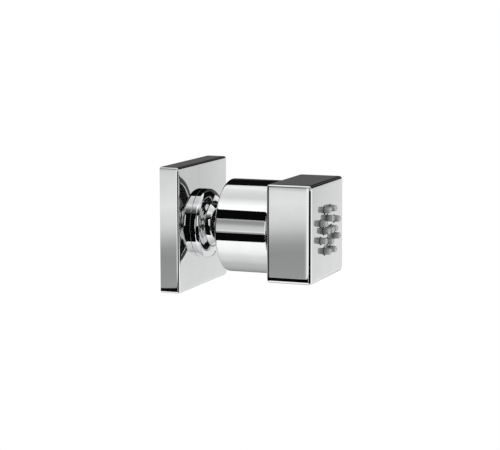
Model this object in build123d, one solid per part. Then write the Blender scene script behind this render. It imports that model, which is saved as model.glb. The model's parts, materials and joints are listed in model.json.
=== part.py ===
from build123d import *

import os
from math import acos, asin, cos, degrees, radians, sin, sqrt, tan

# Shower body jet: a square wall plate, a ball joint under a round collar nut, a round barrel and a square
# spray head with silicone nozzles. Each piece is modelled along the spray axis, with +Z as the distance from
# the wall, and is then turned so that the wall is the plane Y = 0, the spray leaves along -Y and +Z is up.
# Sizes are in millimetres, angles in degrees.

# Wall plate
plate_side = 65.0
plate_depth = 10.4
plate_wall = 2.0
plate_corner_radius = 1.5
plate_edge_round = 0.9
plate_hollow_corner_radius = 1.0

# Foam gasket inside the plate's rim
gasket_width = 4.0
gasket_depth = 2.5
gasket_clearance = 0.1

# Inlet nipple, with a G 1/2 thread
inlet_thread_diameter = 20.955
inlet_thread_length = 9.0
inlet_end_chamfer = 1.0
regulator_bore_diameter = 15.0
regulator_bore_depth = 8.0
inlet_key_flats = 12.0

# Flow regulator and filter in the nipple
regulator_length = 5.5
regulator_clearance = 0.1
regulator_seal_section = 1.8
regulator_groove_width = 2.1
regulator_hole_diameter = 2.0
regulator_hole_count = 6
regulator_hole_circle_radius = 3.9
filter_depth = 1.8
filter_rim_width = 1.2
filter_web = 0.6
filter_hole_diameter = 1.2
filter_hole_pitch = 2.1
filter_first_ring_count = 6

# Ball and stem
ball_diameter = 25.0
ball_standoff = 2.2
ball_flat_distance = 9.5
neck_diameter = 15.0
neck_reach = 13.9
tilt_limit = 20.0
waterway_diameter = 8.4
stem_key_flats = 10.0
stem_key_depth = 6.0
shank_diameter = 13.157
shank_end_chamfer = 0.6

# Seat rings, ball seal and socket cup; a span, start or end of a seat is an angle from the spray axis
seat_ring_thickness = 1.2
seat_clearance = 0.1
front_seat_span = 8.0
rear_seat_start = 102.0
rear_seat_end = 122.0
ball_seal_section = 1.8
ball_seal_angle = 94.0
seal_clearance = 0.05
chamber_clearance = 0.4
socket_wall = 2.1
socket_throat_margin = 1.0

# Collar nut and plate washer; the front's slope, the lip's margin and the step to the seat are angles
collar_wall = 2.25
collar_sleeve_length = 6.9
collar_sleeve_step = 1.1
collar_edge_round = 1.9
collar_front_slope = 22.0
collar_lip_width = 0.3
collar_lip_clearance = 0.25
collar_lip_margin = 15.0
collar_seat_step = 8.0
collar_face_clearance = 0.1
thread_clearance = 0.05
washer_thickness = 0.3
washer_proud = 0.3
washer_clearance = 0.1

# Barrel and the nut that holds it on the stem
barrel_diameter = 48.6
barrel_length = 28.6
barrel_wall = 2.6
barrel_back_wall = 2.5
barrel_recess_depth = 5.0
barrel_rim_width = 3.4
barrel_edge_round = 0.6
barrel_web = 3.0
hub_diameter = 27.0
hub_depth = 8.5
spigot_wall = 1.8
turning_clearance = 0.1
stem_seal_section = 1.7
stem_seal_groove_width = 2.0
thrust_washer_diameter = 21.0
thrust_washer_thickness = 1.0
stem_nut_flats = 19.0
stem_nut_height = 5.0
stem_nut_chamfer = 0.7
shank_past_nut = 1.5

# Spray head
head_side = 50.4
head_depth = 24.2
head_side_wall = 2.55
head_front_wall = 3.0
head_corner_radius = 1.5
head_edge_round = 0.9
disc_thickness = 5.0
disc_clearance = 0.15
disc_recess_depth = 2.0
disc_rim_width = 3.5
disc_hole_diameter = 3.0
disc_seal_section = 1.6
disc_seal_groove_width = 2.0
mat_thickness = 2.0
mat_edge_clearance = 0.6

# Nozzles: one in the centre and two rings
nozzle_inner_circle_radius = 6.0
nozzle_inner_count = 4
nozzle_outer_circle_radius = 11.5
nozzle_outer_count = 8
nozzle_hole_diameter = 4.4
nozzle_root_diameter = 3.6
nozzle_tip_diameter = 3.1
nozzle_height = 3.4
nozzle_tip_round = 0.35
nozzle_channel_diameter = 2.2
nozzle_orifice_diameter = 1.0
nozzle_orifice_length = 1.6

# Places along the spray axis
ball_centre = plate_depth + ball_standoff
collar_base = plate_depth + washer_thickness
barrel_back = ball_centre + neck_reach
head_back = barrel_back + barrel_length
head_face = head_back + head_depth
mat_front = head_face - head_front_wall
disc_front = mat_front - mat_thickness
disc_back = disc_front - disc_thickness
nozzle_tip = head_face + nozzle_height
regulator_seat = -(inlet_thread_length - regulator_bore_depth)
regulator_end = regulator_seat - regulator_length
thrust_washer_base = barrel_back + hub_depth + turning_clearance
stem_nut_base = thrust_washer_base + thrust_washer_thickness
shank_end = stem_nut_base + stem_nut_height + shank_past_nut

# Radii that follow from the ball and the head
ball_radius = ball_diameter / 2
neck_radius = neck_diameter / 2
shank_radius = shank_diameter / 2
seat_inner_radius = ball_radius + seat_clearance
seat_outer_radius = seat_inner_radius + seat_ring_thickness
cavity_radius = seat_outer_radius + seat_clearance
chamber_radius = ball_radius + chamber_clearance
socket_radius = cavity_radius + socket_wall
collar_radius = socket_radius + thread_clearance + collar_wall
sleeve_radius = collar_radius - collar_sleeve_step
barrel_radius = barrel_diameter / 2
head_bore_radius = head_side / 2 - head_side_wall
spigot_radius = head_bore_radius - thread_clearance
disc_radius = head_bore_radius - disc_clearance
regulator_bore_radius = regulator_bore_diameter / 2
regulator_radius = regulator_bore_radius - regulator_clearance

# Seal rings: one on the ball just behind its equator, one on the shank half-way through the hub
ball_seal_reach = ball_radius + seal_clearance + ball_seal_section / 2
ball_seal_place = ball_centre + ball_seal_reach * cos(radians(ball_seal_angle))
ball_seal_outer_radius = ball_seal_reach * sin(radians(ball_seal_angle)) + ball_seal_section / 2
stem_seal_place = barrel_back + hub_depth / 2
stem_seal_outer_radius = shank_radius + seal_clearance + stem_seal_section

# Angles from the spray axis, seen from the ball's centre
neck_angle = degrees(asin(neck_radius / ball_radius))
lip_angle = neck_angle + tilt_limit + collar_lip_margin
front_seat_start = lip_angle + collar_seat_step
front_seat_end = front_seat_start + front_seat_span


def on_sphere(radius, angle):
    """Outline point on a sphere about the ball's centre."""
    return (radius * sin(radians(angle)), ball_centre + radius * cos(radians(angle)))


def sphere_arc(radius, start_angle, end_angle):
    """Outline arc on a sphere about the ball's centre."""
    angles = (start_angle, (start_angle + end_angle) / 2, end_angle)
    return ThreePointArc(*[on_sphere(radius, angle) for angle in angles])


def turned(*edges):
    """Solid of revolution about the spray axis, from an outline of (radius, distance from the wall)."""
    return revolve(Plane.XZ * make_face(edges), Axis.Z)


def turned_rounded(points, corners, radius):
    """Solid of revolution from straight runs, with the named outline corners rounded."""
    outline = make_face(Polyline(*points, close=True))
    for corner in corners:
        outline = fillet(outline.vertices().sort_by_distance(corner)[0], radius)
    return revolve(Plane.XZ * outline, Axis.Z)


def ring(inner_radius, outer_radius, start, end):
    """Plain round ring between two distances from the wall."""
    corners = [(inner_radius, start), (outer_radius, start), (outer_radius, end), (inner_radius, end)]
    return turned(Polyline(*corners, close=True))


def o_ring(outer_radius, section, place):
    """Seal ring of round section, given by its outer radius."""
    return Pos(0, 0, place) * Torus(outer_radius - section / 2, section / 2)


def drill(radius, start, end):
    """Round tool on the spray axis between two distances from the wall."""
    return Pos(0, 0, start) * Cylinder(radius, end - start, align=(Align.CENTER, Align.CENTER, Align.MIN))


def hexagon(across_flats, start, end):
    """Six-sided prism on the spray axis between two distances from the wall."""
    outline = RegularPolygon(across_flats / 2, 6, major_radius=False)
    return Pos(0, 0, start) * extrude(outline, end - start)


def rounded_square(side, corner_radius, start, end):
    """Square prism with rounded corners between two distances from the wall."""
    return Pos(0, 0, start) * extrude(RectangleRounded(side, side, corner_radius), end - start)


def nozzle_places():
    """Where the nozzles stand on the face: the centre, the inner ring and the outer ring."""
    inner = PolarLocations(nozzle_inner_circle_radius, nozzle_inner_count, rotate=False)
    half_step = 180 / nozzle_outer_count
    outer = PolarLocations(nozzle_outer_circle_radius, nozzle_outer_count, half_step, rotate=False)
    return [Location(), *inner, *outer]


# Wall side


def make_wall_plate():
    """Hollow square plate, open towards the wall, with the hole that the collar's sleeve passes through."""
    blank = rounded_square(plate_side, plate_corner_radius, 0, plate_depth)
    blank = fillet(blank.faces().sort_by(Axis.Z)[-1].edges(), plate_edge_round)
    hollow_side = plate_side - 2 * plate_wall
    hollow = rounded_square(hollow_side, plate_hollow_corner_radius, 0, plate_depth - plate_wall)
    return blank - hollow - drill(sleeve_radius + washer_clearance, 0, plate_depth)


def make_wall_gasket():
    """Foam frame inside the plate's rim, flush with the wall."""
    outer_side = plate_side - 2 * (plate_wall + gasket_clearance)
    inner_side = outer_side - 2 * gasket_width
    frame = rounded_square(outer_side, plate_hollow_corner_radius, 0, gasket_depth)
    return frame - rounded_square(inner_side, plate_hollow_corner_radius, 0, gasket_depth)


def make_inlet_socket():
    """Brass nipple with the cup for the ball: seal groove, rear seat, chamber and regulator bore."""
    thread_radius = inlet_thread_diameter / 2
    throat_radius = inlet_key_flats / 2 - socket_throat_margin
    throat_angle = 180 - degrees(asin(throat_radius / chamber_radius))
    groove_radius = ball_seal_outer_radius + seal_clearance
    groove_floor = ball_seal_place - ball_seal_section / 2 - seal_clearance
    groove_angle = degrees(acos((groove_floor - ball_centre) / cavity_radius))
    body = turned(
        Polyline(
            on_sphere(chamber_radius, throat_angle),
            (throat_radius, regulator_seat),
            (regulator_bore_radius, regulator_seat),
            (regulator_bore_radius, -inlet_thread_length),
            (thread_radius - inlet_end_chamfer, -inlet_thread_length),
            (thread_radius, -inlet_thread_length + inlet_end_chamfer),
            (thread_radius, 0),
            (socket_radius, 0),
            (socket_radius, ball_centre),
            (groove_radius, ball_centre),
            (groove_radius, groove_floor),
            on_sphere(cavity_radius, groove_angle),
        ),
        sphere_arc(cavity_radius, groove_angle, rear_seat_end),
        Line(on_sphere(cavity_radius, rear_seat_end), on_sphere(chamber_radius, rear_seat_end)),
        sphere_arc(chamber_radius, rear_seat_end, throat_angle),
    )
    return body - hexagon(inlet_key_flats, regulator_seat, ball_centre)


def make_flow_regulator():
    """Round insert with a seal groove and a ring of water holes."""
    groove_middle = (regulator_seat + regulator_end) / 2
    groove_floor = regulator_bore_radius - regulator_seal_section - regulator_clearance
    half_groove = regulator_groove_width / 2
    body = drill(regulator_radius, regulator_end, regulator_seat)
    groove_ends = (groove_middle - half_groove, groove_middle + half_groove)
    body -= ring(groove_floor, regulator_bore_radius, *groove_ends)
    hole = drill(regulator_hole_diameter / 2, regulator_end, regulator_seat)
    holes = PolarLocations(regulator_hole_circle_radius, regulator_hole_count)
    return body - [place * hole for place in holes]


def make_regulator_seal():
    """Seal ring round the flow regulator."""
    outer_radius = regulator_bore_radius - seal_clearance
    return o_ring(outer_radius, regulator_seal_section, (regulator_seat + regulator_end) / 2)


def make_inlet_filter():
    """Shallow cup with a perforated floor, in the mouth of the nipple."""
    filter_end = regulator_end - filter_depth
    body = drill(regulator_radius, filter_end, regulator_end)
    body -= drill(regulator_radius - filter_rim_width, filter_end + filter_web, regulator_end)
    hole = drill(filter_hole_diameter / 2, filter_end, regulator_end)
    first_ring = PolarLocations(filter_hole_pitch, filter_first_ring_count)
    second_ring = PolarLocations(2 * filter_hole_pitch, 2 * filter_first_ring_count)
    return body - [place * hole for place in (Location(), *first_ring, *second_ring)]


def make_plate_washer():
    """Thin washer between the collar nut and the plate's face."""
    return ring(sleeve_radius + washer_clearance, collar_radius + washer_proud, plate_depth, collar_base)


def make_collar_nut():
    """Nut over the ball: a sleeve through the plate, a rounded edge, a sloping front and a lip."""
    bore_radius = socket_radius + thread_clearance
    lip_radius = ball_radius + collar_lip_clearance
    seat_face = ball_centre + collar_face_clearance
    seat_face_angle = degrees(acos(collar_face_clearance / cavity_radius))
    sleeve_start = collar_base - collar_sleeve_length
    lip = on_sphere(lip_radius, lip_angle)
    land = (lip[0] + collar_lip_width, lip[1])
    slope = radians(collar_front_slope)
    edge_centre_radius = collar_radius - collar_edge_round
    front_radius = edge_centre_radius + collar_edge_round * sin(slope)
    front_start = (front_radius, land[1] - (front_radius - land[0]) * tan(slope))
    edge_start = (collar_radius, front_start[1] - collar_edge_round * cos(slope))
    half_turn = radians((90 - collar_front_slope) / 2)
    edge_middle = (
        edge_centre_radius + collar_edge_round * cos(half_turn),
        edge_start[1] + collar_edge_round * sin(half_turn),
    )
    return turned(
        Polyline(
            on_sphere(cavity_radius, seat_face_angle),
            (bore_radius, seat_face),
            (bore_radius, sleeve_start),
            (sleeve_radius, sleeve_start),
            (sleeve_radius, collar_base),
            (collar_radius, collar_base),
            edge_start,
        ),
        ThreePointArc(edge_start, edge_middle, front_start),
        Polyline(front_start, land, lip),
        sphere_arc(lip_radius, lip_angle, front_seat_start),
        Line(on_sphere(lip_radius, front_seat_start), on_sphere(cavity_radius, front_seat_start)),
        sphere_arc(cavity_radius, front_seat_start, seat_face_angle),
    )


# Ball joint


def make_ball_seal():
    """Seal ring between the ball and the socket cup."""
    return o_ring(ball_seal_outer_radius, ball_seal_section, ball_seal_place)


def make_seat_ring(start_angle, end_angle):
    """Zone of a hollow sphere that the ball slides in."""
    return turned(
        sphere_arc(seat_inner_radius, start_angle, end_angle),
        Line(on_sphere(seat_inner_radius, end_angle), on_sphere(seat_outer_radius, end_angle)),
        sphere_arc(seat_outer_radius, start_angle, end_angle),
        Line(on_sphere(seat_outer_radius, start_angle), on_sphere(seat_inner_radius, start_angle)),
    )


def make_ball_stem():
    """Ball, neck and threaded shank in one turned piece, with the waterway and a key socket in the ball."""
    waterway_radius = waterway_diameter / 2
    flat_place = ball_centre - ball_flat_distance
    flat_radius = sqrt(ball_radius**2 - ball_flat_distance**2)
    flat_angle = degrees(acos(-ball_flat_distance / ball_radius))
    neck_shoulder = barrel_back - turning_clearance
    body = turned(
        sphere_arc(ball_radius, neck_angle, flat_angle),
        Polyline(
            (flat_radius, flat_place),
            (waterway_radius, flat_place),
            (waterway_radius, shank_end),
            (shank_radius - shank_end_chamfer, shank_end),
            (shank_radius, shank_end - shank_end_chamfer),
            (shank_radius, neck_shoulder),
            (neck_radius, neck_shoulder),
            on_sphere(ball_radius, neck_angle),
        ),
    )
    return body - hexagon(stem_key_flats, flat_place, flat_place + stem_key_depth)


def make_thrust_washer():
    """Slip washer between the barrel's hub and the stem nut."""
    inner_radius = shank_radius + turning_clearance
    return ring(inner_radius, thrust_washer_diameter / 2, thrust_washer_base, stem_nut_base)


def make_stem_nut():
    """Hexagon nut with turned corners on both faces."""
    end = stem_nut_base + stem_nut_height
    corner_radius = stem_nut_flats / sqrt(3)
    face_radius = corner_radius - 2 * stem_nut_chamfer
    turned_blank = turned(
        Polyline(
            (shank_radius + thread_clearance, stem_nut_base),
            (face_radius, stem_nut_base),
            (corner_radius, stem_nut_base + stem_nut_chamfer),
            (corner_radius, end - stem_nut_chamfer),
            (face_radius, end),
            (shank_radius + thread_clearance, end),
            close=True,
        )
    )
    return turned_blank & hexagon(stem_nut_flats, stem_nut_base, end)


# Spray side


def make_barrel():
    """Round cup that turns on the stem: hub with a seal groove, recessed back, web and threaded spigot."""
    hub_bore_radius = shank_radius + turning_clearance
    hub_radius = hub_diameter / 2
    recess_radius = barrel_radius - barrel_rim_width
    recess_floor = barrel_back + barrel_recess_depth
    inner_radius = barrel_radius - barrel_wall
    spigot_inner_radius = spigot_radius - spigot_wall
    back_rim = (barrel_radius, barrel_back)
    front_rim = (barrel_radius, head_back)
    body = turned_rounded(
        [
            (hub_bore_radius, barrel_back),
            (hub_radius, barrel_back),
            (hub_radius, recess_floor),
            (recess_radius, recess_floor),
            (recess_radius, barrel_back),
            back_rim,
            front_rim,
            (spigot_radius, head_back),
            (spigot_radius, disc_back),
            (spigot_inner_radius, disc_back),
            (spigot_inner_radius, head_back - barrel_web),
            (inner_radius, head_back - barrel_web),
            (inner_radius, recess_floor + barrel_back_wall),
            (hub_radius, recess_floor + barrel_back_wall),
            (hub_radius, barrel_back + hub_depth),
            (hub_bore_radius, barrel_back + hub_depth),
        ],
        (back_rim, front_rim),
        barrel_edge_round,
    )
    half_groove = stem_seal_groove_width / 2
    groove_radius = stem_seal_outer_radius + seal_clearance
    groove_ends = (stem_seal_place - half_groove, stem_seal_place + half_groove)
    return body - ring(shank_radius, groove_radius, *groove_ends)


def make_stem_seal():
    """Seal ring between the shank and the barrel's hub."""
    return o_ring(stem_seal_outer_radius, stem_seal_section, stem_seal_place)


def make_head_housing():
    """Square head bored from behind, with a hole for each nozzle in its front wall."""
    block = rounded_square(head_side, head_corner_radius, head_back, head_face)
    ends = block.faces().sort_by(Axis.Z)
    block = fillet(ends[0].edges() + ends[-1].edges(), head_edge_round)
    block -= drill(head_bore_radius, head_back, mat_front)
    hole = drill(nozzle_hole_diameter / 2, mat_front, head_face)
    return block - [place * hole for place in nozzle_places()]


def make_nozzle_mat():
    """Silicone mat with all its nozzles in one moulding."""
    root_radius = nozzle_root_diameter / 2
    tip_corner = (nozzle_tip_diameter / 2, nozzle_tip)
    nozzle = turned_rounded(
        [(0, disc_front), (root_radius, disc_front), (root_radius, head_face), tip_corner, (0, nozzle_tip)],
        [tip_corner],
        nozzle_tip_round,
    )
    channel = drill(nozzle_channel_diameter / 2, disc_front, nozzle_tip - nozzle_orifice_length)
    channel += drill(nozzle_orifice_diameter / 2, disc_front, nozzle_tip)
    sheet = drill(head_bore_radius - mat_edge_clearance, disc_front, mat_front)
    places = nozzle_places()
    return sheet + [place * nozzle for place in places] - [place * channel for place in places]


def make_spray_disc():
    """Stiff disc that the barrel's spigot presses on the mat, with a water hole behind each nozzle."""
    middle = disc_back + disc_thickness / 2
    half_groove = disc_seal_groove_width / 2
    groove_floor = head_bore_radius - 2 * seal_clearance - disc_seal_section
    body = drill(disc_radius, disc_back, disc_front)
    body -= ring(groove_floor, head_bore_radius, middle - half_groove, middle + half_groove)
    body -= drill(disc_radius - disc_rim_width, disc_back, disc_back + disc_recess_depth)
    hole = drill(disc_hole_diameter / 2, disc_back, disc_front)
    return body - [place * hole for place in nozzle_places()]


def make_disc_seal():
    """Seal ring between the spray disc and the head's bore."""
    return o_ring(head_bore_radius - seal_clearance, disc_seal_section, disc_back + disc_thickness / 2)


pieces = {
    "wall_plate": make_wall_plate(),
    "wall_gasket": make_wall_gasket(),
    "inlet_socket": make_inlet_socket(),
    "flow_regulator": make_flow_regulator(),
    "regulator_seal": make_regulator_seal(),
    "inlet_filter": make_inlet_filter(),
    "plate_washer": make_plate_washer(),
    "collar_nut": make_collar_nut(),
    "ball_seal": make_ball_seal(),
    "front_seat_ring": make_seat_ring(front_seat_start, front_seat_end),
    "rear_seat_ring": make_seat_ring(rear_seat_start, rear_seat_end),
    "ball_stem": make_ball_stem(),
    "thrust_washer": make_thrust_washer(),
    "stem_nut": make_stem_nut(),
    "barrel": make_barrel(),
    "stem_seal": make_stem_seal(),
    "head_housing": make_head_housing(),
    "nozzle_mat": make_nozzle_mat(),
    "spray_disc": make_spray_disc(),
    "disc_seal": make_disc_seal(),
}

spray_along_minus_y = Rot(X=90)
os.makedirs("parts", exist_ok=True)
for name, piece in pieces.items():
    export_step(spray_along_minus_y * piece, f"parts/{name}.step")
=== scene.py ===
"""Looks of the shower body jet: chrome plate, ball joint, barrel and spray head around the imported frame.

Lengths are in metres in the frame's axes: the wall is the plane Y = 0, the spray leaves along -Y and +Z is
up. A turned piece is given by its half section, as points of (radius, distance from the wall).
"""

from __future__ import annotations

import json
import logging
import math
from contextlib import contextmanager
from dataclasses import dataclass, field
from enum import Enum
from typing import Any, Callable, Iterator, Mapping, Optional, Sequence, Union

import bmesh
import bpy
from mathutils import Matrix, Quaternion, Vector


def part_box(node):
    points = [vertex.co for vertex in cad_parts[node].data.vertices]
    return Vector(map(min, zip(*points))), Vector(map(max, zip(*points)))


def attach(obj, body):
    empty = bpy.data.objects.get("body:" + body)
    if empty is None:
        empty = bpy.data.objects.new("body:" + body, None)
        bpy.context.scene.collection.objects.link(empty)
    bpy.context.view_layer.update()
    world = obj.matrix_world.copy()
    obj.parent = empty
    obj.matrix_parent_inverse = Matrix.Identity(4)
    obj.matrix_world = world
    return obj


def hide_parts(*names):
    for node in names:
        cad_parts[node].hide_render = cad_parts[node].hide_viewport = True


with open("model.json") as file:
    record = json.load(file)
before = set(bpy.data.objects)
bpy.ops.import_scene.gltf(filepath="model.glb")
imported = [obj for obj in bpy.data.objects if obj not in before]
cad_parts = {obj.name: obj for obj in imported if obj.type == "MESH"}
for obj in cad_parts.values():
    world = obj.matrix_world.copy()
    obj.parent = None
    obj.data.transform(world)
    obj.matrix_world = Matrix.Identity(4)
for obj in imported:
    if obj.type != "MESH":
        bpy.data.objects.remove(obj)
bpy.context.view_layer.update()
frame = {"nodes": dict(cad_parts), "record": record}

LOG = logging.getLogger("body_jet")
MM = 0.001
MERGE_DISTANCE = 0.001 * MM
SMOOTH_ANGLE = math.radians(32)
MOTTLE_RANGE = (0.3, 0.7)
MOTTLE_DETAIL = 3.0
RELIEF_DETAIL = 2.0
# Sockets of a Mix node that mixes colours
MIX_FACTOR, MIX_FIRST, MIX_SECOND, MIX_RESULT = 0, 6, 7, 2

Point = tuple[float, float]
Object = bpy.types.Object


class Cut(Enum):
    """What a boolean does with its tool."""

    REMOVE = "DIFFERENCE"
    ADD = "UNION"


class Slot(Enum):
    """Material slots of the record."""

    CHROME = "chrome"
    BRASS = "brass"
    ACETAL = "acetal"
    NYLON = "nylon"
    SILICONE = "silicone"
    SEAL_RUBBER = "seal_rubber"
    FOAM = "foam"


class Body(Enum):
    """Bodies of the frame."""

    WALL_MOUNT = "wall_mount"
    SEAT_RINGS = "seat_rings"
    STEM = "stem"
    HEAD = "head"


# Shader maths


class Value:
    """A number socket: an expression on it adds the Math nodes that work it out."""

    def __init__(self, shader: Shader, socket: bpy.types.NodeSocket) -> None:
        """Wrap an output socket of a shader's node."""
        self.shader = shader
        self.socket = socket

    def _math(self, operation: str, first: Number, second: Number) -> Value:
        """Add a Math node and wrap its output."""
        node = self.shader.node("ShaderNodeMath", {"operation": operation}, {0: first, 1: second})
        return Value(self.shader, node.outputs[0])

    def __add__(self, other: Number) -> Value:
        """Sum of two values."""
        return self._math("ADD", self, other)

    __radd__ = __add__

    def __sub__(self, other: Number) -> Value:
        """Difference of two values."""
        return self._math("SUBTRACT", self, other)

    def __rsub__(self, other: Number) -> Value:
        """Difference with the number on the left."""
        return self._math("SUBTRACT", other, self)

    def __mul__(self, other: Number) -> Value:
        """Product of two values."""
        return self._math("MULTIPLY", self, other)

    __rmul__ = __mul__

    def __truediv__(self, other: Number) -> Value:
        """Quotient of two values."""
        return self._math("DIVIDE", self, other)

    def clamped(self) -> Value:
        """The value held between 0 and 1."""
        settings = {"operation": "ADD", "use_clamp": True}
        return Value(self.shader, self.shader.node("ShaderNodeMath", settings, {0: self, 1: 0.0}).outputs[0])


Number = Union[Value, float]


class Shader:
    """A node tree, with one method for any node."""

    def __init__(self, tree: bpy.types.NodeTree) -> None:
        """Start from an empty tree."""
        self.tree = tree
        self.tree.nodes.clear()

    def node(
        self,
        kind: str,
        settings: Optional[Mapping[str, Any]] = None,
        sockets: Optional[Mapping[Union[str, int], Any]] = None,
    ) -> bpy.types.Node:
        """Add a node.

        Args:
            kind: The node's type.
            settings: Its properties, set first; "stops" gives a ramp's positions and colours.
            sockets: The values or links of its inputs, by name or number.

        Returns:
            The new node.
        """
        node = self.tree.nodes.new(kind)
        for name, setting in (settings or {}).items():
            if name == "stops":
                self._set_stops(node.color_ramp, setting)
            else:
                setattr(node, name, setting)
        for name, given in (sockets or {}).items():
            source = given.socket if isinstance(given, Value) else given
            if isinstance(source, bpy.types.NodeSocket):
                self.tree.links.new(source, node.inputs[name])
            else:
                node.inputs[name].default_value = source
        return node

    def value(self, node: bpy.types.Node, output: Union[str, int]) -> Value:
        """Wrap a node's output for use in expressions."""
        return Value(self, node.outputs[output])

    def place(self) -> bpy.types.NodeSocket:
        """Object coordinates of the surface."""
        return self.node("ShaderNodeTexCoord").outputs["Object"]

    def noise(self, scale: float, detail: float) -> Value:
        """Noise from 0 to 1 over the surface, with scale in waves per metre."""
        sockets = {"Vector": self.place(), "Scale": scale, "Detail": detail}
        return self.value(self.node("ShaderNodeTexNoise", None, sockets), 0)

    def ramp(self, factor: Value, stops: Sequence[tuple[float, tuple[float, ...]]]) -> bpy.types.NodeSocket:
        """Colour that follows a value through ramp stops."""
        return self.node("ShaderNodeValToRGB", {"stops": stops}, {"Fac": factor}).outputs["Color"]

    def bump(self, height: Value, strength: float, depth: float) -> bpy.types.NodeSocket:
        """Normal of a surface with a height on it, with depth in metres."""
        sockets = {"Height": height, "Strength": strength, "Distance": depth}
        return self.node("ShaderNodeBump", None, sockets).outputs["Normal"]

    def rays(self, *names: str) -> Value:
        """One where the ray is of any of the named kinds, else zero."""
        path = self.node("ShaderNodeLightPath")
        total = self.value(path, names[0])
        for name in names[1:]:
            total = total + self.value(path, name)
        return total

    @staticmethod
    def _set_stops(ramp: bpy.types.ColorRamp, stops: Sequence[tuple[float, tuple[float, ...]]]) -> None:
        """Replace a ramp's stops."""
        while len(ramp.elements) > 1:
            ramp.elements.remove(ramp.elements[-1])
        ramp.elements[0].position = stops[0][0]
        ramp.elements[0].color = (*stops[0][1], 1.0)
        for position, colour in stops[1:]:
            ramp.elements.new(position).color = (*colour, 1.0)


def grey(tone: float) -> tuple[float, float, float]:
    """Neutral colour of one tone."""
    return (tone, tone, tone)


def toward(azimuth: float, elevation: float) -> Vector:
    """Direction seen from the object: azimuth from -Y and towards +X, elevation from level, in degrees."""
    turn, lift = math.radians(azimuth), math.radians(elevation)
    return Vector((math.sin(turn) * math.cos(lift), -math.cos(turn) * math.cos(lift), math.sin(lift)))


# Finishes


@dataclass(frozen=True)
class Finish:
    """A surface finish: a principled shader with colour, gloss and relief that vary over the surface."""

    name: str
    dark: tuple[float, float, float]
    light: tuple[float, float, float]
    metallic: float = 0.0
    roughness: Point = (0.4, 0.5)
    mottle_scale: float = 300.0
    relief_scale: float = 900.0
    relief_strength: float = 0.1
    relief_depth: float = 0.05 * MM
    specular: float = 0.5

    def material(self) -> bpy.types.Material:
        """Make the material.

        Returns:
            A node material named for the finish.
        """
        material = bpy.data.materials.new(self.name)
        material.use_nodes = True
        shader = Shader(material.node_tree)
        mottle = shader.noise(self.mottle_scale, MOTTLE_DETAIL)
        low, high = self.roughness
        sockets = {
            "Base Color": self.colour(shader, mottle),
            "Roughness": low + (high - low) * mottle,
            "Metallic": self.metallic,
            "Specular IOR Level": self.specular,
            "Normal": shader.bump(self.relief(shader), self.relief_strength, self.relief_depth),
        }
        surface = shader.node("ShaderNodeBsdfPrincipled", None, sockets)
        shader.node("ShaderNodeOutputMaterial", None, {"Surface": surface.outputs[0]})
        return material

    def colour(self, shader: Shader, mottle: Value) -> bpy.types.NodeSocket:
        """Base colour, between the dark and the light one."""
        return shader.ramp(mottle, tuple(zip(MOTTLE_RANGE, (self.dark, self.light))))

    def relief(self, shader: Shader) -> Value:
        """Fine unevenness of the surface."""
        return shader.noise(self.relief_scale, RELIEF_DETAIL)


@dataclass(frozen=True)
class NozzleFinish(Finish):
    """A soft finish with painted shade and light: dark inside the head where shade falls, and paler along the
    nozzles up to their tips, where more light falls.
    """

    face: float = 79.3 * MM
    tip: float = 82.7 * MM
    # Painted shade: grey stops from the head's face (0) to the nozzle tips (1), dark in the holes and pale at
    # the lit tips.
    painted_shade_stops: Sequence[Point] = ((0.0, 0.05), (0.1, 0.34), (0.5, 0.54), (0.8, 0.66), (0.93, 1.0))

    def colour(self, shader: Shader, mottle: Value) -> bpy.types.NodeSocket:
        """Base colour with painted shade, darker near the head's face and paler towards the nozzle tips."""
        axes = shader.node("ShaderNodeSeparateXYZ", None, {"Vector": shader.place()})
        share = (-1.0 * shader.value(axes, "Y") - self.face) / (self.tip - self.face)
        shade = shader.ramp(share, [(place, grey(tone)) for place, tone in self.painted_shade_stops])
        sockets = {MIX_FACTOR: 1.0, MIX_FIRST: super().colour(shader, mottle), MIX_SECOND: shade}
        settings = {"data_type": "RGBA", "blend_type": "MULTIPLY"}
        return shader.node("ShaderNodeMix", settings, sockets).outputs[MIX_RESULT]


@dataclass(frozen=True)
class TurnedFinish(Finish):
    """A finish with the fine rings that a lathe tool leaves."""

    ring_scale: float = 900.0
    ring_distortion: float = 0.6
    ring_share: float = 0.7

    def relief(self, shader: Shader) -> Value:
        """Tool rings along the axis, broken by a little noise."""
        settings = {"wave_type": "BANDS", "bands_direction": "Y", "wave_profile": "SIN"}
        sockets = {
            "Vector": shader.place(),
            "Scale": self.ring_scale,
            "Distortion": self.ring_distortion,
            "Detail": 1.0,
        }
        rings = shader.value(shader.node("ShaderNodeTexWave", settings, sockets), "Fac")
        return self.ring_share * rings + (1 - self.ring_share) * super().relief(shader)


@dataclass(frozen=True)
class CellFinish(Finish):
    """A foamed finish with small open cells."""

    def relief(self, shader: Shader) -> Value:
        """Rounded cells with thin walls between them."""
        sockets = {"Vector": shader.place(), "Scale": self.relief_scale}
        return shader.value(shader.node("ShaderNodeTexVoronoi", None, sockets), "Distance")


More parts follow.
